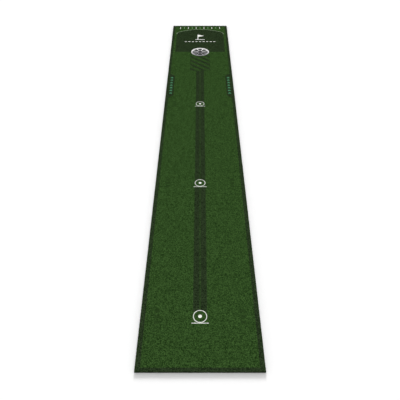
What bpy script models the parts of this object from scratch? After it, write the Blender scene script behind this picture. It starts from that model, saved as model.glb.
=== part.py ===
"""Practice putting mat: a long sheet of printed turf on a rubber backing, with a lift-out cup.

Frame: +Y runs along the mat towards the hole, +X is to the right, +Z is up.
The origin lies on the floor, in the middle of the mat.

The last stretch with the hole lies flat. The rest of the sheet rolls up, pile inside, so it is
divided into strips that turn on hinges in line with the pile's top. Every hinge turns by the same
angle, and each strip is a little shorter than the one before it, which makes a spiral of
parallel layers with a small clearance between them.
"""

import math

import bmesh
import bpy
from mathutils import Vector

# Driving dimensions of the mat, in metres
MAT_LENGTH = 2.400
MAT_WIDTH = 0.366
BACKING_THICKNESS = 0.0022
TURF_THICKNESS = 0.0050
GAP = 0.0003

# The hole and its cup
HOLE_TO_FAR_EDGE = 0.405
CUP_OUTER_RADIUS = 0.0548
SKIRT_INNER_RADIUS = 0.0523
RING_INNER_RADIUS = 0.0496
WALL_FOOT_RADIUS = 0.0486
RING_EDGE = 0.0006
FLOOR_DEPTH = 0.0015
FLOOR_THICKNESS = 0.0010
OPENING_COUNT = 8
OPENING_INNER_RADIUS = 0.0170
OPENING_OUTER_RADIUS = 0.0455
OPENING_HALF_ANGLE = math.radians(18)
HUB_OUTER_RADIUS = 0.0140
HUB_HOLE_RADIUS = 0.0120
ROUND_STEPS = 96
ARC_STEPS = 6

# The roll: how many strips, how far each hinge turns, and the clearance between layers
FLAT_END_LENGTH = 0.620
STRIP_COUNT = 28
HINGE_ANGLE = math.radians(45)
LAYER_CLEARANCE = 0.0065

# Heights worked out from the layers
TURF_BOTTOM = BACKING_THICKNESS + GAP
MAT_TOP = TURF_BOTTOM + TURF_THICKNESS
FLOOR_TOP = MAT_TOP - FLOOR_DEPTH
FLOOR_UNDERSIDE = FLOOR_TOP - FLOOR_THICKNESS

# Colours as the eye sees them, 0 to 255
TURF_GREEN = (46, 72, 33)
RUBBER_BLACK = (28, 29, 30)
PLASTIC_WHITE = (232, 232, 228)


def linear(channel):
    """Turn an 0 to 255 channel into the linear value that a shader expects."""
    value = channel / 255
    if value <= 0.04045:
        return value / 12.92
    return ((value + 0.055) / 1.055) ** 2.4


def make_material(name, colour, roughness, metallic=0.0):
    """Make a Principled material with one colour."""
    material = bpy.data.materials.new(name)
    material.use_nodes = True
    shader = material.node_tree.nodes["Principled BSDF"]
    shader.inputs["Base Color"].default_value = (*[linear(c) for c in colour], 1.0)
    shader.inputs["Roughness"].default_value = roughness
    shader.inputs["Metallic"].default_value = metallic
    material.diffuse_color = shader.inputs["Base Color"].default_value
    return material


def add_object(name, mesh, parent, location, material=None):
    """Place a mesh in the scene under a parent."""
    obj = bpy.data.objects.new(name, mesh)
    bpy.context.collection.objects.link(obj)
    obj.parent = parent
    obj.location = location
    if material is not None:
        mesh.materials.append(material)
    return obj


def add_empty(name, parent, location):
    """Add the empty that a moving piece hangs from, on its joint's axis."""
    empty = bpy.data.objects.new(name, None)
    bpy.context.collection.objects.link(empty)
    empty.parent = parent
    empty.location = location
    return empty


def slab_mesh(name, length, bottom, top):
    """A slab across the mat's width: it starts at Y = 0 and runs back towards -Y."""
    bm = bmesh.new()
    bmesh.ops.create_cube(bm, size=1.0)
    size = Vector((MAT_WIDTH, length, top - bottom))
    bmesh.ops.scale(bm, verts=bm.verts, vec=size)
    bmesh.ops.translate(bm, verts=bm.verts, vec=Vector((0, -length / 2, (bottom + top) / 2)))
    mesh = bpy.data.meshes.new(name)
    bm.to_mesh(mesh)
    bm.free()
    return mesh


def turned_mesh(name, profile):
    """Turn a closed profile of (radius, height) points round the Z axis."""
    bm = bmesh.new()
    rings = []
    for step in range(ROUND_STEPS):
        angle = math.tau * step / ROUND_STEPS
        rings.append([bm.verts.new((r * math.cos(angle), r * math.sin(angle), z)) for r, z in profile])
    for ring, following in zip(rings, rings[1:] + rings[:1]):
        for i in range(len(profile)):
            j = (i + 1) % len(profile)
            bm.faces.new((ring[i], following[i], following[j], ring[j]))
    bmesh.ops.recalc_face_normals(bm, faces=bm.faces)
    mesh = bpy.data.meshes.new(name)
    bm.to_mesh(mesh)
    bm.free()
    mesh.shade_smooth()
    mesh.set_sharp_from_angle(angle=math.radians(30))
    return mesh


def prism_mesh(name, outlines, bottom, top):
    """Extrude flat outlines, each a list of (x, y) points, into closed upright prisms."""
    bm = bmesh.new()
    for outline in outlines:
        face = bm.faces.new([bm.verts.new((x, y, bottom)) for x, y in outline])
        walls = bmesh.ops.extrude_face_region(bm, geom=[face])["geom"]
        raised = [item for item in walls if isinstance(item, bmesh.types.BMVert)]
        bmesh.ops.translate(bm, verts=raised, vec=Vector((0, 0, top - bottom)))
    bmesh.ops.recalc_face_normals(bm, faces=bm.faces)
    mesh = bpy.data.meshes.new(name)
    bm.to_mesh(mesh)
    bm.free()
    return mesh


def circle_points(radius, steps):
    """Points on a circle round the Z axis."""
    angles = [math.tau * step / steps for step in range(steps)]
    return [(radius * math.cos(a), radius * math.sin(a)) for a in angles]


def opening_points(index):
    """The outline of one opening in the cup's floor; the first one faces the far edge."""
    middle = math.pi / 2 + math.tau * index / OPENING_COUNT
    turns = [OPENING_HALF_ANGLE * (2 * i / ARC_STEPS - 1) for i in range(ARC_STEPS + 1)]
    outer = [(OPENING_OUTER_RADIUS, middle + turn) for turn in turns]
    inner = [(OPENING_INNER_RADIUS, middle + turn) for turn in reversed(turns)]
    return [(r * math.cos(a), r * math.sin(a)) for r, a in outer + inner]


def cut(target, name, mesh, parent, location):
    """Cut a mesh out of an object with a Boolean."""
    cutter = add_object(name, mesh, parent, location)
    cutter.hide_render = True
    cutter.display_type = "WIRE"
    modifier = target.modifiers.new(name, "BOOLEAN")
    modifier.object = cutter
    modifier.operation = "DIFFERENCE"
    modifier.solver = "EXACT"


def strip_lengths():
    """Lengths of the strips from the flat end outwards, each shorter than the last by one step."""
    layer_pitch = MAT_TOP + LAYER_CLEARANCE
    strips_per_turn = round(math.tau / HINGE_ANGLE)
    growth = -sum(j * math.sin(j * HINGE_ANGLE) for j in range(strips_per_turn))
    step = layer_pitch / growth
    rolled_length = MAT_LENGTH - FLAT_END_LENGTH
    longest = rolled_length / STRIP_COUNT + step * (STRIP_COUNT - 1) / 2
    return [longest - step * i for i in range(STRIP_COUNT)]


def build_flat_end(root, turf, rubber):
    """The stretch of turf and backing with the hole."""
    far_edge = MAT_LENGTH / 2
    length = FLAT_END_LENGTH - GAP / 2
    place = Vector((0, far_edge, 0))
    add_object("backing_hole_end", slab_mesh("backing_hole_end", length, 0, BACKING_THICKNESS), root, place, rubber)
    sheet = add_object("turf_hole_end", slab_mesh("turf_hole_end", length, TURF_BOTTOM, MAT_TOP), root, place, turf)
    hole = prism_mesh("hole", [circle_points(CUP_OUTER_RADIUS + GAP, ROUND_STEPS)], 0, 2 * MAT_TOP)
    cut(sheet, "hole_cutter", hole, root, Vector((0, far_edge - HOLE_TO_FAR_EDGE, 0)))


def build_strips(root, turf, rubber):
    """The strips that roll up, each hanging from the hinge at its far edge."""
    parent = root
    offset = Vector((0, MAT_LENGTH / 2 - FLAT_END_LENGTH, MAT_TOP))
    for number, length in enumerate(strip_lengths(), start=1):
        hinge = add_empty(f"hinge_{number:02d}", parent, offset)
        is_last = number == STRIP_COUNT
        solid = length - (GAP / 2 if is_last else GAP)
        place = Vector((0, -GAP / 2, -MAT_TOP))
        turf_name = f"turf_strip_{number:02d}"
        backing_name = f"backing_strip_{number:02d}"
        add_object(turf_name, slab_mesh(turf_name, solid, TURF_BOTTOM, MAT_TOP), hinge, place, turf)
        add_object(backing_name, slab_mesh(backing_name, solid, 0, BACKING_THICKNESS), hinge, place, rubber)
        parent = hinge
        offset = Vector((0, -length, 0))


def build_cup(root, plastic):
    """The plastic cup: a skirted ring round a sunken floor with eight openings and a hollow hub."""
    profile = [
        (CUP_OUTER_RADIUS, TURF_BOTTOM),
        (CUP_OUTER_RADIUS, MAT_TOP - RING_EDGE),
        (CUP_OUTER_RADIUS - RING_EDGE, MAT_TOP),
        (RING_INNER_RADIUS + RING_EDGE, MAT_TOP),
        (RING_INNER_RADIUS, MAT_TOP - RING_EDGE),
        (WALL_FOOT_RADIUS, FLOOR_TOP),
        (HUB_HOLE_RADIUS, FLOOR_TOP),
        (HUB_HOLE_RADIUS, TURF_BOTTOM),
        (HUB_OUTER_RADIUS, TURF_BOTTOM),
        (HUB_OUTER_RADIUS, FLOOR_UNDERSIDE),
        (SKIRT_INNER_RADIUS, FLOOR_UNDERSIDE),
        (SKIRT_INNER_RADIUS, TURF_BOTTOM),
    ]
    lift = add_empty("cup_lift", root, Vector((0, MAT_LENGTH / 2 - HOLE_TO_FAR_EDGE, 0)))
    cup = add_object("cup", turned_mesh("cup", profile), lift, Vector((0, 0, 0)), plastic)
    outlines = [opening_points(index) for index in range(OPENING_COUNT)]
    openings = prism_mesh("openings", outlines, FLOOR_UNDERSIDE - FLOOR_THICKNESS, FLOOR_TOP + FLOOR_THICKNESS)
    cut(cup, "opening_cutter", openings, lift, Vector((0, 0, 0)))


def main():
    """Clear the scene and build the mat."""
    for obj in list(bpy.data.objects):
        bpy.data.objects.remove(obj, do_unlink=True)
    turf = make_material("printed_turf", TURF_GREEN, 0.95)
    rubber = make_material("rubber_backing", RUBBER_BLACK, 0.85)
    plastic = make_material("white_plastic", PLASTIC_WHITE, 0.35)
    root = add_empty("putting_mat", None, Vector((0, 0, 0)))
    build_flat_end(root, turf, rubber)
    build_strips(root, turf, rubber)
    build_cup(root, plastic)
    bpy.context.view_layer.update()


main()
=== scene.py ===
"""The looks of a practice putting mat: printed turf, rubber backing and a plastic cup.

Lengths are in metres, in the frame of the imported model: +Y runs along the mat towards the hole,
+Z is up, and the origin lies on the floor in the middle of the mat.
"""

import math

import bpy
import numpy as np
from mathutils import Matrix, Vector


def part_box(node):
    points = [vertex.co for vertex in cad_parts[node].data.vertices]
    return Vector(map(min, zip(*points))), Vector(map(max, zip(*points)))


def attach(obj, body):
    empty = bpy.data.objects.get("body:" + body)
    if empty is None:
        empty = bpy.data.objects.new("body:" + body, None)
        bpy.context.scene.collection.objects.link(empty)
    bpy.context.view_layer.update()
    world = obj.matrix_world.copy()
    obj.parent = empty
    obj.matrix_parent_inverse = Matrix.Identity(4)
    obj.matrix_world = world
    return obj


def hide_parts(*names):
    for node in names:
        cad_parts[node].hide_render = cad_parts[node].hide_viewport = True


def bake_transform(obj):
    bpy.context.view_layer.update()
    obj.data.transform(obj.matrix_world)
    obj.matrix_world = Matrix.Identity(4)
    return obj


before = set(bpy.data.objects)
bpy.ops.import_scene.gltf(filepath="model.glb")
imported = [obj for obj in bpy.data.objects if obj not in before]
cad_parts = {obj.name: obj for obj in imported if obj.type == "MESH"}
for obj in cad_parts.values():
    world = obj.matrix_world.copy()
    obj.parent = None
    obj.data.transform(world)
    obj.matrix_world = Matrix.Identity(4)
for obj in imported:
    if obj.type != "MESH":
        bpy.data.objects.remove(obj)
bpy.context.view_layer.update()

# ---------------------------------------------------------------- sizes read from the frame
END_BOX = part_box("turf_hole_end")
CUP_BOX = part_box("cup")
STRIP_BOXES = [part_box(name) for name in sorted(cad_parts) if name.startswith("turf_strip")]
HALF_WIDTH = END_BOX[1].x
FAR_EDGE = END_BOX[1].y
NEAR_EDGE = STRIP_BOXES[-1][0].y
LENGTH = FAR_EDGE - NEAR_EDGE
MAT_TOP = END_BOX[1].z
TURF_BOTTOM = END_BOX[0].z
BACKING_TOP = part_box("backing_hole_end")[1].z
CUP_Y = (CUP_BOX[0].y + CUP_BOX[1].y) / 2
CUP_RADIUS = CUP_BOX[1].x
CUP_BOTTOM = CUP_BOX[0].z

# ---------------------------------------------------------------- relief of the pile and the rubber
PILE_PITCH = 0.0018
TUFT_HEIGHT = 0.0012
TUFT_LEAN = 0.0005
EDGE_BULGE = 0.0005
LEAST_BULGE_SHARE = 0.3
RUBBER_PITCH = 0.0030
DIMPLE_PITCH = 0.0120
DIMPLE_DEPTH = 0.0006
HOLE_CLEARANCE = 0.0001
MOST_LEAN = TUFT_LEAN * 0.5 * math.sqrt(2)
HOLE_RADIUS = CUP_RADIUS + HOLE_CLEARANCE + MOST_LEAN
PATCH_HALF_SIZE = 0.0680
PATCH_RINGS = 12
BEND_REACH = 0.0120

# ---------------------------------------------------------------- the cup
RING_WIDTH = 0.0050
RING_INNER_RADIUS = CUP_RADIUS - RING_WIDTH
CROWN_SHOULDER = MAT_TOP - 0.0006
CROWN_TOP = MAT_TOP + 0.0002
SKIRT_THICKNESS = 0.0025
SKIRT_INNER_RADIUS = CUP_RADIUS - SKIRT_THICKNESS
FLOOR_DEPTH = 0.0015
WEB_TOP = MAT_TOP - FLOOR_DEPTH
WEB_DOME = 0.0006
WEB_THICKNESS = 0.0010
WEB_EDGE_ROUND = 0.0004
OPENING_COUNT = 8
OPENING_INNER = 0.0170
OPENING_OUTER = 0.0455
OPENING_HALF_ANGLE = math.radians(18)
OPENING_SQUARENESS = 5.0
HUB_OUTER_RADIUS = 0.0140
HUB_HOLE_RADIUS = 0.0120
HUB_TOP = WEB_TOP + WEB_DOME + 0.0003
HUB_CROWN = 0.0005
WEB_LAP_ON_HUB = 0.0006
WEB_LAP_ON_RING = 0.0008
SIDE_STEPS = 12
RING_STEPS = 192
HUB_STEPS = 96
SHARP_ANGLE = math.radians(40)

# ---------------------------------------------------------------- the print, from the near edge
SIDE_BORDER = 0.0150
END_BORDER = 0.0118
RING_PITCH = 0.6102
NEAR_RING = 0.1709
RING_RADIUS = 0.0204
RING_LINE = 0.0020
DOT_RADIUS = 0.0056
BAR_HALF_WIDTH = 0.0262
BAR_LINE = 0.0019
BAR_DROP = 0.0024
TARGETS_END = NEAR_RING + 2.5 * RING_PITCH
STRIPE_HALF_WIDTH = 0.0221
STRIPE_SPLIT = 0.0026
STRIPE_CLEAR_NEAR = 0.0265
STRIPE_CLEAR_FAR = 0.0170
HATCH_START = 1.750
HATCH_HALF_WIDTH = 0.0570
HATCH_PITCH = 0.0512
HATCH_MIDDLE = 1.7735
HATCH_SLOPE = 0.95
HATCH_SIDE_LINE = 0.0028
HATCH_BAR_HALF_WIDTH = HATCH_PITCH * 0.24
PANEL_HALF_WIDTH = 0.1545
PANEL_START = 1.9950
PANEL_TOP = 2.3370
PANEL_ARCH = 2.1
PANEL_CORNER = 0.0160
PANEL_LINE = 0.0034
PANEL_LINE_REACH = PANEL_CORNER * 1.6
TICK_PITCH = 0.0267
TICK_COUNT = 11
TICK_START = 2.3480
TICK_END = 2.3770
TICK_WIDTH = 0.0032
SIDE_PANEL_START = 1.450
SIDE_PANEL_END = 1.715
SIDE_PANEL_WIDTH = 0.0410
CHEVRON_PITCH = 0.0280
CHEVRON_COUNT = 7
CHEVRON_FROM_EDGE = 0.0250
CHEVRON_HALF_WIDTH = 0.0068
CHEVRON_LINE = 0.0075
PIP_FROM_EDGE = 0.0507
PIP_HALF_WIDTH = 0.0085
PIP_HALF_SPAN = 0.0300
PIP_PITCH = 0.0200
PIP_LENGTH = 0.0120
DASH_PLACE = 2.1442
DASH_PITCH = 0.0230
DASH_COUNT = 9
DASH_LENGTH = 0.0130
DASH_LINE = 0.0062
FLAG_PLACE = 2.2140
FLAG_HALF_HEIGHT = 0.0380
FLAG_LINE = 0.0050
FLAG_POLE_X = -0.014
CLOTH_MIDDLE = FLAG_HALF_HEIGHT * 0.52
CLOTH_HALF_HEIGHT = FLAG_HALF_HEIGHT * 0.48
CLOTH_TAPER = 0.46
FLAG_BASE_HALF_WIDTH = FLAG_HALF_HEIGHT * 0.8
PIP_STRENGTH = 0.6
PRINT_SOFTNESS = 0.0010
PRINT_WANDER = 0.0016

# ---------------------------------------------------------------- grain: cells to the metre
WANDER_SCALE = 380.0
TUFT_SCALE = 530.0
FIBRE_SCALE = 1700.0
PATCH_SCALE = 45.0
RUBBER_GRAIN_SCALE = 900.0
RUBBER_WEAR_SCALE = 18.0
SCUFF_SCALE = 180.0
PLASTIC_GRAIN_SCALE = 2500.0

# ---------------------------------------------------------------- how grain and painted shade make light and dark
TUFT_SHARE = 0.90
FIBRE_SHARE = 0.40
PATCH_SHARE = 0.10
PILE_DARKENING = 0.19
LEAST_PATCHY_COVER = 0.65
LEAST_WHITE_COVER = 0.88
WEAR_SHARE = 0.8
RUBBER_GRAIN_SHARE = 0.5
# Painted shade: how much darker the rubber's dimples are.
DIMPLE_SHADE_SHARE = 0.9
# How far noise wobbles the edge of the painted shade on the cup's ring and floor.
RING_SHADE_WOBBLE = 0.004
FLOOR_SHADE_WOBBLE = 0.008
RING_BLEND = 0.0006
# Widths of the edges of the painted shade on the hub and in its hole.
HUB_BLEND = 0.0020
HUB_HOLE_BLEND = 0.0008

# ---------------------------------------------------------------- light, floor and camera
SKY_LEVEL = 0.555
SKY_HORIZON = 2.52
SKY_FALLOFF = 4.0
SUN_STRENGTH = 2.8
SUN_WIDTH = math.radians(18)
SUN_TURN = (math.radians(-68), math.radians(3), 0)
FLOOR_HALF_SIZE = 30.0
FLOOR_DROP = 0.0002
CAMERA_LENS = 37.385
CAMERA_SENSOR = 36.0
CAMERA_SHIFT = -0.0002
CAMERA_BACK = 0.4897
CAMERA_HEIGHT = 1.1433
CAMERA_TILT = math.radians(45.65)

# ---------------------------------------------------------------- colours as seen, 0 to 255
GREEN_SHADE = (0, 20, 0)
GREEN_LIGHT = (68, 100, 50)
DARK_SHADE = (0, 6, 0)
DARK_LIGHT = (58, 75, 48)
WHITE_INK = (254, 255, 250)
PALE_GREEN_INK = (136, 178, 130)
GREY_GREEN_INK = (152, 170, 140)
TEAL_INK = (92, 168, 124)
FAINT_INK = (36, 56, 26)
RUBBER = (20, 21, 22)
RUBBER_WORN = (62, 63, 64)
PLASTIC = (232, 232, 231)
# Painted shade: the cup's plastic as it looks in shade, on its near side and its hub.
PLASTIC_SHADED = (114, 112, 118)
# Painted shade: the dark inside of the hub's hole.
HOLE_SHADE = (40, 39, 42)
# Painted shade: where along the cup's Y the ring and the floor turn from grey to white.
SHADE_ON_RING = (-0.056, 0.020)
SHADE_ON_FLOOR = (-0.004, 0.042)
FLOOR = (252, 252, 252)


def linear(colour):
    """Turn a colour as seen into the linear RGBA that a shader takes."""
    shares = [c / 255 for c in colour]
    return (*[s / 12.92 if s <= 0.04045 else ((s + 0.055) / 1.055) ** 2.4 for s in shares], 1.0)


# ---------------------------------------------------------------- fields: shader values by formula
class Field:
    """A value that varies over a surface. Arithmetic on it adds Math nodes to its tree."""

    def __init__(self, tree, socket):
        self.tree = tree
        self.socket = socket

    def math(self, operation, *others, clamp=False):
        node = self.tree.nodes.new("ShaderNodeMath")
        node.operation = operation
        node.use_clamp = clamp
        for socket, value in zip(node.inputs, (self, *others)):
            if isinstance(value, Field):
                self.tree.links.new(value.socket, socket)
            else:
                socket.default_value = value
        return Field(self.tree, node.outputs[0])

    def __add__(self, other):
        return self.math("ADD", other)

    def __sub__(self, other):
        return self.math("SUBTRACT", other)

    def __mul__(self, other):
        return self.math("MULTIPLY", other)

    def __neg__(self):
        return self * -1.0

    def __abs__(self):
        return self.math("ABSOLUTE")

    def most(self, *others):
        """The largest of several: as distances, the overlap of their shapes."""
        result = self
        for other in others:
            result = result.math("MAXIMUM", other)
        return result

    def least(self, *others):
        """The smallest of several: as distances, all their shapes together."""
        result = self
        for other in others:
            result = result.math("MINIMUM", other)
        return result

    def folded(self, pitch, middle=0.0):
        """The offset from the nearest of the places middle + k * pitch."""
        return (self - (middle - pitch / 2)).math("FLOORED_MODULO", pitch) - pitch / 2

    def mask(self):
        """1 inside a shape and 0 outside it, from the distance to its edge."""
        return (self * (-1 / PRINT_SOFTNESS)).math("ADD", 0.5, clamp=True)


def length_of(a, b):
    """The distance of the point (a, b) from the origin."""
    return (a * a + b * b).math("SQRT")


def box_edge(x, y, half_x, half_y):
    """Distance to the edge of an upright box round the origin, negative inside."""
    return (abs(x) - half_x).most(abs(y) - half_y)


def span_edge(value, low, high):
    """Distance to the ends of a span, negative inside."""
    return abs(value - (low + high) / 2) - (high - low) / 2


def ramp(value, low, high):
    """0 below low and 1 above high."""
    return (value * (1 / (high - low))).math("ADD", -low / (high - low), clamp=True)


# ---------------------------------------------------------------- material helpers
def new_material(name):
    """A Principled material: (material, tree, shader)."""
    material = bpy.data.materials.new(name)
    material.use_nodes = True
    tree = material.node_tree
    return material, tree, tree.nodes["Principled BSDF"]


def place_of(tree):
    """A point's place on the flat mat, which goes with it when the mat bends."""
    node = tree.nodes.new("ShaderNodeAttribute")
    node.attribute_name = "place"
    return node.outputs["Vector"]


def noise(tree, vector, scale, detail=2.0):
    """A Noise texture: (its value, its colour socket)."""
    node = tree.nodes.new("ShaderNodeTexNoise")
    node.inputs["Scale"].default_value = scale
    node.inputs["Detail"].default_value = detail
    tree.links.new(vector, node.inputs["Vector"])
    return Field(tree, node.outputs["Fac"]), node.outputs["Color"]


def tufts(tree, vector, scale):
    """Small cells: (a random value for each, the distance from its middle)."""
    node = tree.nodes.new("ShaderNodeTexVoronoi")
    node.inputs["Scale"].default_value = scale
    tree.links.new(vector, node.inputs["Vector"])
    split = tree.nodes.new("ShaderNodeSeparateColor")
    tree.links.new(node.outputs["Color"], split.inputs[0])
    return Field(tree, split.outputs[0]), Field(tree, node.outputs["Distance"])


def mix(tree, share, first, second):
    """Mix two colours, each a colour as seen or a socket, by a field."""
    node = tree.nodes.new("ShaderNodeMix")
    node.data_type = "RGBA"
    tree.links.new(share.socket, node.inputs["Factor"])
    for socket, value in ((node.inputs[6], first), (node.inputs[7], second)):
        if isinstance(value, tuple):
            socket.default_value = linear(value)
        else:
            tree.links.new(value, socket)
    return node.outputs[2]


def bump(tree, shader, height, strength, distance):
    """Tilt the shader's normal by a height field."""
    node = tree.nodes.new("ShaderNodeBump")
    node.inputs["Strength"].default_value = strength
    node.inputs["Distance"].default_value = distance
    tree.links.new(height.socket, node.inputs["Height"])
    tree.links.new(node.outputs["Normal"], shader.inputs["Normal"])


# ---------------------------------------------------------------- the print on the turf
def print_place(tree, place):
    """X, and Y from the near edge, shifted a little from tuft to tuft as dyed pile is."""
    colour = noise(tree, place, WANDER_SCALE, detail=1.0)[1]
    shift = tree.nodes.new("ShaderNodeVectorMath")
    shift.operation = "MULTIPLY_ADD"
    tree.links.new(colour, shift.inputs[0])
    shift.inputs[1].default_value = (PRINT_WANDER, PRINT_WANDER, 0.0)
    tree.links.new(place, shift.inputs[2])
    split = tree.nodes.new("ShaderNodeSeparateXYZ")
    tree.links.new(shift.outputs[0], split.inputs[0])
    x = Field(tree, split.outputs["X"]) - PRINT_WANDER / 2
    along = Field(tree, split.outputs["Y"]) - (NEAR_EDGE + PRINT_WANDER / 2)
    return x, along


def border_edge(x, along):
    """The dark border round the mat."""
    return -box_edge(x, along - LENGTH / 2, HALF_WIDTH - SIDE_BORDER, LENGTH / 2 - END_BORDER)


def stripe_edge(x, along, from_ring):
    """Two dark lanes down the middle, left out round each target."""
    lanes = span_edge(abs(x), STRIPE_SPLIT / 2, STRIPE_HALF_WIDTH)
    stretch = span_edge(along, NEAR_RING + STRIPE_CLEAR_FAR, HATCH_START)
    return lanes.most(stretch, -span_edge(from_ring, -STRIPE_CLEAR_NEAR, STRIPE_CLEAR_FAR))


def hatch_edge(x, along):
    """Slanting bars between two side lines, from the stripe to the hole."""
    slanted = along + x * HATCH_SLOPE
    bars = abs(slanted.folded(HATCH_PITCH, HATCH_MIDDLE)) - HATCH_BAR_HALF_WIDTH
    bars = bars.most(abs(x) - HATCH_HALF_WIDTH)
    sides = span_edge(abs(x), HATCH_HALF_WIDTH - HATCH_SIDE_LINE, HATCH_HALF_WIDTH)
    return bars.least(sides).most(span_edge(along, HATCH_START, CUP_Y - NEAR_EDGE))


def panel_edges(x, along):
    """The dark panel at the hole, and the outline along its arched far side."""
    sides = abs(x) - PANEL_HALF_WIDTH
    arch = along + x * x * PANEL_ARCH - PANEL_TOP
    inset_x = (sides + PANEL_CORNER).most(0.0)
    inset_y = (arch + PANEL_CORNER).most(0.0)
    outline = length_of(inset_x, inset_y) - PANEL_CORNER
    panel = outline.most(sides, arch, -along + PANEL_START)
    line = (abs(outline) - PANEL_LINE / 2).most(-arch - PANEL_LINE_REACH)
    return panel, line


def side_panel_edge(x, along):
    """Dark panels inside the borders, with slanting ends."""
    inward = -abs(x) + HALF_WIDTH
    middle = (SIDE_PANEL_START + SIDE_PANEL_END) / 2
    half_length = (SIDE_PANEL_END - SIDE_PANEL_START) / 2
    ends = abs(along - middle) + inward - (half_length + SIDE_BORDER)
    return (inward - SIDE_PANEL_WIDTH).most(ends)


def chevron_edge(x, along):
    """A row of chevrons on each side panel that point to the hole."""
    middle = (SIDE_PANEL_START + SIDE_PANEL_END) / 2
    across = abs(abs(x) - (HALF_WIDTH - CHEVRON_FROM_EDGE))
    slanted = along + across - (middle + CHEVRON_HALF_WIDTH / 2)
    arms = abs(slanted.folded(CHEVRON_PITCH)) - CHEVRON_LINE / 2
    return arms.most(across - CHEVRON_HALF_WIDTH, abs(slanted) - CHEVRON_COUNT * CHEVRON_PITCH / 2)


def target_edge(x, from_ring):
    """A ring with a dot, and a bar at its near side."""
    radius = length_of(x, from_ring)
    ring = abs(radius - RING_RADIUS) - RING_LINE / 2
    bar = box_edge(x, from_ring + (RING_RADIUS + BAR_DROP), BAR_HALF_WIDTH, BAR_LINE / 2)
    return ring.least(radius - DOT_RADIUS, bar)


def pip_edge(x, along, from_ring):
    """Faint marks at both sides of each target."""
    column = abs(abs(x) - (HALF_WIDTH - PIP_FROM_EDGE)) - PIP_HALF_WIDTH
    dashes = abs(from_ring.folded(PIP_PITCH)) - PIP_LENGTH / 2
    return column.most(dashes, abs(from_ring) - PIP_HALF_SPAN, along - TARGETS_END)


def flag_edge(x, along):
    """A plain flag on a pole that stands on a bar."""
    across = x - FLAG_POLE_X
    up = along - FLAG_PLACE
    pole = box_edge(across, up, FLAG_LINE / 2, FLAG_HALF_HEIGHT)
    cloth = abs(up - CLOTH_MIDDLE) + across * CLOTH_TAPER - CLOTH_HALF_HEIGHT
    cloth = cloth.most(-across)
    base = box_edge(x, up + FLAG_HALF_HEIGHT, FLAG_BASE_HALF_WIDTH, FLAG_LINE / 2)
    return pole.least(cloth, base)


def dash_edge(x, along):
    """A dashed line across the panel."""
    dash = box_edge(x.folded(DASH_PITCH), along - DASH_PLACE, DASH_LENGTH / 2, DASH_LINE / 2)
    return dash.most(abs(x) - DASH_COUNT * DASH_PITCH / 2)


def tick_edge(x, along, first):
    """Every other tick at the far end, from the one numbered first."""
    tick = abs(x.folded(2 * TICK_PITCH, first * TICK_PITCH)) - TICK_WIDTH / 2
    return tick.most(abs(x) - TICK_COUNT * TICK_PITCH / 2, span_edge(along, TICK_START, TICK_END))


def turf_material():
    """Short dyed pile: green with a dark and a white print, no two tufts quite alike."""
    material, tree, shader = new_material("printed_turf")
    place = place_of(tree)
    x, along = print_place(tree, place)
    from_ring = along.folded(RING_PITCH, NEAR_RING)

    tuft, tuft_edge = tufts(tree, place, TUFT_SCALE)
    fibre = noise(tree, place, FIBRE_SCALE)[0]
    patch = noise(tree, place, PATCH_SCALE, detail=3.0)[0]
    light = tuft * TUFT_SHARE + fibre * FIBRE_SHARE + patch * PATCH_SHARE - PILE_DARKENING
    light = light.math("ADD", 0.0, clamp=True)

    panel, panel_line = panel_edges(x, along)
    dark = border_edge(x, along).least(
        stripe_edge(x, along, from_ring), hatch_edge(x, along), panel, side_panel_edge(x, along)
    )
    white = target_edge(x, from_ring).most(along - TARGETS_END)
    white = white.least(flag_edge(x, along), dash_edge(x, along), tick_edge(x, along, 1))

    green = mix(tree, light, GREEN_SHADE, GREEN_LIGHT)
    green = mix(tree, pip_edge(x, along, from_ring).mask() * PIP_STRENGTH, green, FAINT_INK)
    colour = mix(tree, dark.mask(), green, mix(tree, light, DARK_SHADE, DARK_LIGHT))
    patchy = light * (1 - LEAST_PATCHY_COVER) + LEAST_PATCHY_COVER
    solid = light * (1 - LEAST_WHITE_COVER) + LEAST_WHITE_COVER
    layers = (
        (tick_edge(x, along, 0), PALE_GREEN_INK, patchy),
        (panel_line, GREY_GREEN_INK, patchy),
        (chevron_edge(x, along), TEAL_INK, patchy),
        (white, WHITE_INK, solid),
    )
    for edge, ink, cover in layers:
        colour = mix(tree, edge.mask() * cover, colour, ink)
    tree.links.new(colour, shader.inputs["Base Color"])
    rough = fibre * 0.2 + 0.75
    tree.links.new(rough.socket, shader.inputs["Roughness"])
    shader.inputs["Specular IOR Level"].default_value = 0.0
    bump(tree, shader, fibre - tuft_edge * 0.8, 0.5, 0.0005)
    return material


def rubber_material():
    """Black rubber with a fine leathery grain and paler worn patches, with painted shade darkening
    its dimples.
    """
    material, tree, shader = new_material("rubber_backing")
    place = place_of(tree)
    split = tree.nodes.new("ShaderNodeSeparateXYZ")
    tree.links.new(place, split.inputs[0])
    x, y, z = (Field(tree, split.outputs[axis]) for axis in "XYZ")
    turn = math.tau / DIMPLE_PITCH
    dimple = ((x * turn).math("COSINE") * (y * turn).math("COSINE")).most(0.0)
    grain = noise(tree, place, RUBBER_GRAIN_SCALE, detail=4.0)[0]
    wear = noise(tree, place, RUBBER_WEAR_SCALE, detail=4.0)[0]
    on_underside = -ramp(z, DIMPLE_DEPTH, BACKING_TOP) + 1.0
    # Random wear and grain make the rubber paler, and painted shade makes its dimples darker.
    wear_and_dimple_shade = wear * WEAR_SHARE + grain * RUBBER_GRAIN_SHARE - dimple * DIMPLE_SHADE_SHARE
    wear_and_dimple_shade = wear_and_dimple_shade * on_underside
    wear_and_dimple_shade = wear_and_dimple_shade.math("ADD", 0.0, clamp=True)
    tree.links.new(mix(tree, wear_and_dimple_shade, RUBBER, RUBBER_WORN), shader.inputs["Base Color"])
    rough = grain * 0.25 + 0.55
    tree.links.new(rough.socket, shader.inputs["Roughness"])
    shader.inputs["Specular IOR Level"].default_value = 0.3
    bump(tree, shader, grain - dimple * 0.8, 0.6, 0.0006)
    return material


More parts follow.
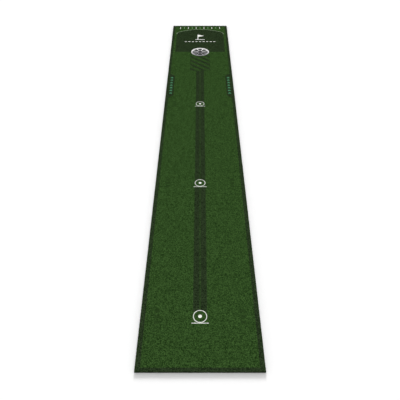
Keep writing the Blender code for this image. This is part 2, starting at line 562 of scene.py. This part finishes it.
def plastic_material():
    """Satin white moulded plastic, with painted shade: grey on its near side and hub, dark in the
    hub's hole.
    """
    material, tree, shader = new_material("white_plastic")
    place = place_of(tree)
    split = tree.nodes.new("ShaderNodeSeparateXYZ")
    tree.links.new(place, split.inputs[0])
    x = Field(tree, split.outputs["X"])
    y = Field(tree, split.outputs["Y"]) - CUP_Y
    scuff = noise(tree, place, SCUFF_SCALE, detail=5.0)[0]
    grain = noise(tree, place, PLASTIC_GRAIN_SCALE)[0]
    on_ring = ramp(length_of(x, y), RING_INNER_RADIUS - RING_BLEND, RING_INNER_RADIUS)
    # Painted shade: the near side of the ring and of the floor is grey and the far side white, and
    # noise wobbles the edge.
    ring_lit = ramp(y + scuff * RING_SHADE_WOBBLE, *SHADE_ON_RING)
    floor_lit = ramp(y + scuff * FLOOR_SHADE_WOBBLE, *SHADE_ON_FLOOR)
    # Painted shade: the hub keeps the grey of the shaded plastic.
    off_hub = ramp(length_of(x, y), HUB_OUTER_RADIUS, HUB_OUTER_RADIUS + HUB_BLEND)
    white = (on_ring * ring_lit).most((-on_ring + 1.0) * floor_lit * off_hub)
    # Painted shade: dark inside the hub's hole.
    off_hole = ramp(length_of(x, y), HUB_HOLE_RADIUS, HUB_HOLE_RADIUS + HUB_HOLE_BLEND)
    # Base colour: painted shade from grey to white by white's share, and dark in the hub's hole.
    colour = mix(tree, off_hole, HOLE_SHADE, mix(tree, white, PLASTIC_SHADED, PLASTIC))
    tree.links.new(colour, shader.inputs["Base Color"])
    rough = scuff * 0.25 + 0.45
    tree.links.new(rough.socket, shader.inputs["Roughness"])
    shader.inputs["Specular IOR Level"].default_value = 0.05
    bump(tree, shader, grain, 0.12, 0.0002)
    return material


# ---------------------------------------------------------------- sheets
def scatter(x, y, seed):
    """A repeatable random number from 0 to 1 for each place."""
    value = np.sin(x * 12989.8 + y * 78233.0 + seed * 37.719) * 43758.5453
    return value - np.floor(value)


def pile_surface(x, y):
    """The tips of the pile, uneven and leaning every way."""
    lean_x = TUFT_LEAN * (scatter(x, y, 1) - 0.5)
    lean_y = TUFT_LEAN * (scatter(x, y, 2) - 0.5)
    return np.stack([x + lean_x, y + lean_y, MAT_TOP - TUFT_HEIGHT * scatter(x, y, 3)], axis=-1)


def rubber_surface(x, y):
    """The underside of the rubber, with rows of round dimples."""
    wave = np.cos(x * math.tau / DIMPLE_PITCH) * np.cos(y * math.tau / DIMPLE_PITCH)
    return np.stack([x, y, DIMPLE_DEPTH * np.clip(wave, 0, 1)], axis=-1)


def quads_between(index):
    """Quads between the neighbours in a grid of point numbers."""
    corners = [index[:-1, :-1], index[:-1, 1:], index[1:, 1:], index[1:, :-1]]
    return np.stack(corners, axis=-1).reshape(-1, 4)


def block_loop(first_row, last_row, first_column, last_column):
    """The (row, column) pairs round a block of a grid, each once."""
    loop = [(first_row, c) for c in range(first_column, last_column)]
    loop += [(r, last_column) for r in range(first_row, last_row)]
    loop += [(last_row, c) for c in range(last_column, first_column, -1)]
    loop += [(r, first_column) for r in range(last_row, first_row, -1)]
    return loop


def cut_round_hole(grid_x, grid_y, index, surface):
    """Clear a block of the grid round the cup, and fill it up to a circle: (points, quads)."""
    rows = np.flatnonzero(np.abs(grid_y[:, 0] - CUP_Y) < PATCH_HALF_SIZE)
    columns = np.flatnonzero(np.abs(grid_x[0]) < PATCH_HALF_SIZE)
    loop = block_loop(rows[0], rows[-1], columns[0], columns[-1])
    keep = np.ones((index.shape[0] - 1, index.shape[1] - 1), dtype=bool)
    keep[rows[0] : rows[-1], columns[0] : columns[-1]] = False
    quads = quads_between(index)[keep.ravel()]

    rim = np.array([(grid_x[r, c], grid_y[r, c]) for r, c in loop])
    middle = np.array([0.0, CUP_Y])
    outward = rim - middle
    circle = middle + outward * (HOLE_RADIUS / np.linalg.norm(outward, axis=1))[:, None]
    shares = np.linspace(1, 0, PATCH_RINGS + 1)[1:]
    flat = np.concatenate([circle + (rim - circle) * share for share in shares])
    first_new = index.size
    rings = [np.array([index[r, c] for r, c in loop])]
    rings += [first_new + np.arange(len(loop)) + k * len(loop) for k in range(PATCH_RINGS)]
    rings = np.array([np.append(ring, ring[0]) for ring in rings])
    return surface(flat[:, 0], flat[:, 1]), np.concatenate([quads, quads_between(rings)])


def rim_edges(quads, count):
    """The directed edges that only one quad has."""
    starts = quads.ravel()
    ends = np.roll(quads, -1, axis=1).ravel()
    alone = ~np.isin(starts * count + ends, ends * count + starts)
    return starts[alone], ends[alone]


def add_mesh(name, points, quads, material, smooth):
    """Add an object made of quads. smooth says which of them are shaded smooth."""
    mesh = bpy.data.meshes.new(name)
    mesh.from_pydata(points.tolist(), [], quads.tolist())
    mesh.polygons.foreach_set("use_smooth", smooth)
    place = mesh.attributes.new("place", "FLOAT_VECTOR", "POINT")
    place.data.foreach_set("vector", points.astype(np.float32).ravel())
    mesh.materials.append(material)
    obj = bpy.data.objects.new(name, mesh)
    bpy.context.collection.objects.link(obj)
    return obj


def sheet_mesh(name, low, high, pitch, surface, flat_z, bulge, material, has_hole):
    """A closed sheet from Y = low to high: relief on one face, a flat one at flat_z."""
    columns = 2 * round(HALF_WIDTH / pitch)
    rows = max(2, round((high - low) / pitch))
    across = np.linspace(-HALF_WIDTH, HALF_WIDTH, columns + 1)
    grid_x, grid_y = np.meshgrid(across, np.linspace(low, high, rows + 1))
    index = np.arange(grid_x.size).reshape(grid_x.shape)
    relief = surface(grid_x.ravel(), grid_y.ravel())
    quads = quads_between(index)
    if has_hole:
        patch, quads = cut_round_hole(grid_x, grid_y, index, surface)
        relief = np.concatenate([relief, patch])
    count = len(relief)
    starts, ends = rim_edges(quads, count)

    flat = relief.copy()
    flat[:, 2] = flat_z
    rim_x, rim_y = relief[starts, 0], relief[starts, 1]
    on_side = np.abs(np.abs(rim_x) - HALF_WIDTH) < TUFT_LEAN
    on_end = np.minimum(np.abs(rim_y - FAR_EDGE), np.abs(rim_y - NEAR_EDGE)) < TUFT_LEAN
    uneven = scatter(rim_x, rim_y, 4)
    swell = bulge * (LEAST_BULGE_SHARE + (1 - LEAST_BULGE_SHARE) * uneven)
    waist = relief[starts]
    waist[:, 2] = 0.5 * (waist[:, 2] + flat_z)
    waist[:, 0] += on_side * np.sign(waist[:, 0]) * swell
    waist[:, 1] += on_end * np.sign(waist[:, 1]) * swell

    waist_of = np.zeros(count, dtype=int)
    waist_of[starts] = 2 * count + np.arange(len(starts))
    upper = np.stack([ends, starts, waist_of[starts], waist_of[ends]], axis=-1)
    lower = np.stack([waist_of[ends], waist_of[starts], starts + count, ends + count], axis=-1)
    every = np.concatenate([quads, quads[:, ::-1] + count, upper, lower])
    if surface is rubber_surface:
        every = every[:, ::-1]
    points = np.concatenate([relief, flat, waist])
    used = np.zeros(len(points), dtype=bool)
    used[every.ravel()] = True
    renumbered = np.cumsum(used) - 1
    smooth = np.arange(len(every)) < len(quads)
    return add_mesh(name, points[used], renumbered[every], material, smooth)


def add_layer(word, node_word, pitch, surface, flat_z, bulge, material):
    """Add one layer of the mat: the end with the hole, and a piece across each hinge."""
    centres = [(low.y + high.y) / 2 for low, high in STRIP_BOXES]
    neighbours = zip([END_BOX, *STRIP_BOXES], STRIP_BOXES)
    hinges = [(before[0].y + after[1].y) / 2 for before, after in neighbours]
    marks = [hinges[0] + BEND_REACH, *centres[:-1], NEAR_EDGE]
    bodies = ["hole_end"] + [f"strip_{number:02d}" for number in range(1, len(centres) + 1)]
    pieces = []
    has_hole = surface is pile_surface
    end = sheet_mesh(
        f"{word}_hole_end", marks[0], FAR_EDGE, pitch, surface, flat_z, bulge, material, has_hole
    )
    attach(end, "hole_end")
    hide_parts(f"{node_word}_hole_end")
    pieces.append((end, FAR_EDGE - marks[0]))
    for number, hinge in enumerate(hinges, start=1):
        high, low = marks[number - 1], marks[number]
        piece = sheet_mesh(
            f"{word}_{number:02d}", low, high, pitch, surface, flat_z, bulge, material, False
        )
        bodies[number - 1]
        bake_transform(piece)
        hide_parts(f"{node_word}_strip_{number:02d}")
        pieces.append((piece, high - low))
    return pieces


# ---------------------------------------------------------------- the cup
def turned(profile, steps):
    """Turn a closed profile of (radius, height) round the cup's axis: (points, quads)."""
    angles = np.arange(steps) * math.tau / steps
    radius, height = np.array(profile).T
    x = np.cos(angles)[:, None] * radius
    y = np.sin(angles)[:, None] * radius
    points = np.stack([x, y, np.broadcast_to(height, x.shape)], axis=-1).reshape(-1, 3)
    index = np.arange(steps * len(profile)).reshape(steps, len(profile))
    index = np.pad(index, ((0, 1), (0, 1)), mode="wrap")
    return points, quads_between(index)


def crown_profile(inner, outer, shoulder, top, steps=10):
    """A rounded crown from the outer shoulder over to the inner one."""
    angles = [math.pi * step / steps for step in range(steps + 1)]
    middle, half = (inner + outer) / 2, (outer - inner) / 2
    return [(middle + half * math.cos(a), shoulder + (top - shoulder) * math.sin(a)) for a in angles]


def web_mesh():
    """The cup's floor: a plate with eight rounded openings, in eight equal sectors."""
    half_sector = math.pi / OPENING_COUNT
    inner, outer = HUB_OUTER_RADIUS - WEB_LAP_ON_HUB, RING_INNER_RADIUS + WEB_LAP_ON_RING
    side = block_loop(0, SIDE_STEPS, 0, SIDE_STEPS)
    square = np.array(side) * 2 / SIDE_STEPS - 1
    norm = (np.abs(square) ** OPENING_SQUARENESS).sum(axis=1) ** (1 / OPENING_SQUARENESS)
    rounded = square / norm[:, None]
    opening_middle = (OPENING_INNER + OPENING_OUTER) / 2
    hole_r = opening_middle + rounded[:, 0] * (OPENING_OUTER - OPENING_INNER) / 2
    hole_a = rounded[:, 1] * OPENING_HALF_ANGLE
    sector_r = (inner + outer) / 2 + square[:, 0] * (outer - inner) / 2
    sector_a = square[:, 1] * half_sector
    shares = [0.0, 0.0, 0.02, 0.05, 0.09, 0.2, 0.4, 0.7, 1.0, 1.0, 0.0]
    points, quads = [], []
    for sector in range(OPENING_COUNT):
        turn = math.pi / 2 + sector * math.tau / OPENING_COUNT
        rings = []
        for number, share in enumerate(shares):
            r = hole_r + (sector_r - hole_r) * share
            a = hole_a + (sector_a - hole_a) * share
            away = np.hypot(r - hole_r, (a - hole_a) * r)
            dome = WEB_TOP + WEB_DOME * (1 - (r / outer) ** 2)
            fall = WEB_EDGE_ROUND - np.minimum(away, WEB_EDGE_ROUND)
            z = dome - WEB_EDGE_ROUND + np.sqrt(WEB_EDGE_ROUND**2 - fall**2)
            if number == 0 or number >= len(shares) - 2:
                z = np.full_like(r, WEB_TOP - WEB_THICKNESS)
            rings.append(np.stack([r * np.cos(a + turn), r * np.sin(a + turn), z], axis=-1))
        first = sum(len(p) for p in points)
        size = len(side)
        index = first + np.arange(len(rings) * size).reshape(len(rings), size)
        index = np.pad(index, ((0, 0), (0, 1)), mode="wrap")
        points.append(np.concatenate(rings))
        quads.append(quads_between(index))
    return np.concatenate(points), np.concatenate(quads)


def add_cup(material):
    """Add the cup: a crowned ring with a skirt, its floor and a hollow hub."""
    ring = [(CUP_RADIUS, CUP_BOTTOM)]
    ring += crown_profile(RING_INNER_RADIUS, CUP_RADIUS, CROWN_SHOULDER, CROWN_TOP)
    web_bottom = WEB_TOP - WEB_THICKNESS
    ring += [(RING_INNER_RADIUS, web_bottom), (SKIRT_INNER_RADIUS, web_bottom)]
    ring += [(SKIRT_INNER_RADIUS, CUP_BOTTOM)]
    hub = [(HUB_OUTER_RADIUS, CUP_BOTTOM)]
    hub += crown_profile(HUB_HOLE_RADIUS, HUB_OUTER_RADIUS, HUB_TOP - HUB_CROWN, HUB_TOP)
    hub += [(HUB_HOLE_RADIUS, CUP_BOTTOM)]
    shells = [turned(ring, RING_STEPS), turned(hub, HUB_STEPS), web_mesh()]
    points, quads, first = [], [], 0
    for shell_points, shell_quads in shells:
        points.append(shell_points + (0.0, CUP_Y, 0.0))
        quads.append(shell_quads + first)
        first += len(shell_points)
    quads = np.concatenate(quads)
    smooth = np.ones(len(quads), dtype=bool)
    cup = add_mesh("cup_white", np.concatenate(points), quads, material, smooth)
    cup.data.set_sharp_from_angle(angle=SHARP_ANGLE)
    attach(cup, "cup")
    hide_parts("cup")


# ---------------------------------------------------------------- stage
def light_sky(tree):
    """Even white light from the whole sky, stronger close to the horizon."""
    background = tree.nodes["Background"]
    direction = tree.nodes.new("ShaderNodeTexCoord").outputs["Generated"]
    split = tree.nodes.new("ShaderNodeSeparateXYZ")
    tree.links.new(direction, split.inputs[0])
    height = Field(tree, split.outputs["Z"]).math("ADD", 0.0, clamp=True)
    glow = (height * -1.0 + 1.0).math("POWER", SKY_FALLOFF)
    strength = glow * SKY_HORIZON + SKY_LEVEL
    background.inputs["Color"].default_value = (1.0, 1.0, 1.0, 1.0)
    tree.links.new(strength.socket, background.inputs["Strength"])


def add_stage():
    """A pale floor, a low soft light from beyond the hole, and the camera at the near end."""
    mesh = bpy.data.meshes.new("floor")
    size = FLOOR_HALF_SIZE
    corners = [(-size, -size, 0), (size, -size, 0), (size, size, 0), (-size, size, 0)]
    mesh.from_pydata(corners, [], [(0, 1, 2, 3)])
    material, _, shader = new_material("floor")
    shader.inputs["Base Color"].default_value = linear(FLOOR)
    shader.inputs["Roughness"].default_value = 0.9
    shader.inputs["Specular IOR Level"].default_value = 0.0
    mesh.materials.append(material)
    floor = bpy.data.objects.new("floor", mesh)
    floor.location.z = -FLOOR_DROP
    bpy.context.collection.objects.link(floor)

    world = bpy.data.worlds.new("studio")
    world.use_nodes = True
    light_sky(world.node_tree)
    bpy.context.scene.world = world
    sun = bpy.data.lights.new("low_light", "SUN")
    sun.energy = SUN_STRENGTH
    sun.angle = SUN_WIDTH
    lamp = bpy.data.objects.new("low_light", sun)
    lamp.rotation_euler = SUN_TURN
    bpy.context.collection.objects.link(lamp)

    camera = bpy.data.cameras.new("camera")
    camera.lens = CAMERA_LENS
    camera.sensor_width = CAMERA_SENSOR
    camera.shift_x = CAMERA_SHIFT
    viewer = bpy.data.objects.new("camera", camera)
    viewer.location = (0.0, NEAR_EDGE - CAMERA_BACK, MAT_TOP + CAMERA_HEIGHT)
    viewer.rotation_euler = (CAMERA_TILT, 0.0, 0.0)
    bpy.context.collection.objects.link(viewer)
    bpy.context.scene.camera = viewer
    bpy.context.scene.view_settings.view_transform = "Standard"


add_stage()
rubber = rubber_material()
turf = turf_material()
backing_pieces = add_layer(
    "rubber", "backing", RUBBER_PITCH, rubber_surface, BACKING_TOP, 0.0, rubber
)
add_layer(
    "pile", "turf", PILE_PITCH, pile_surface, TURF_BOTTOM, EDGE_BULGE, turf
)
add_cup(plastic_material())
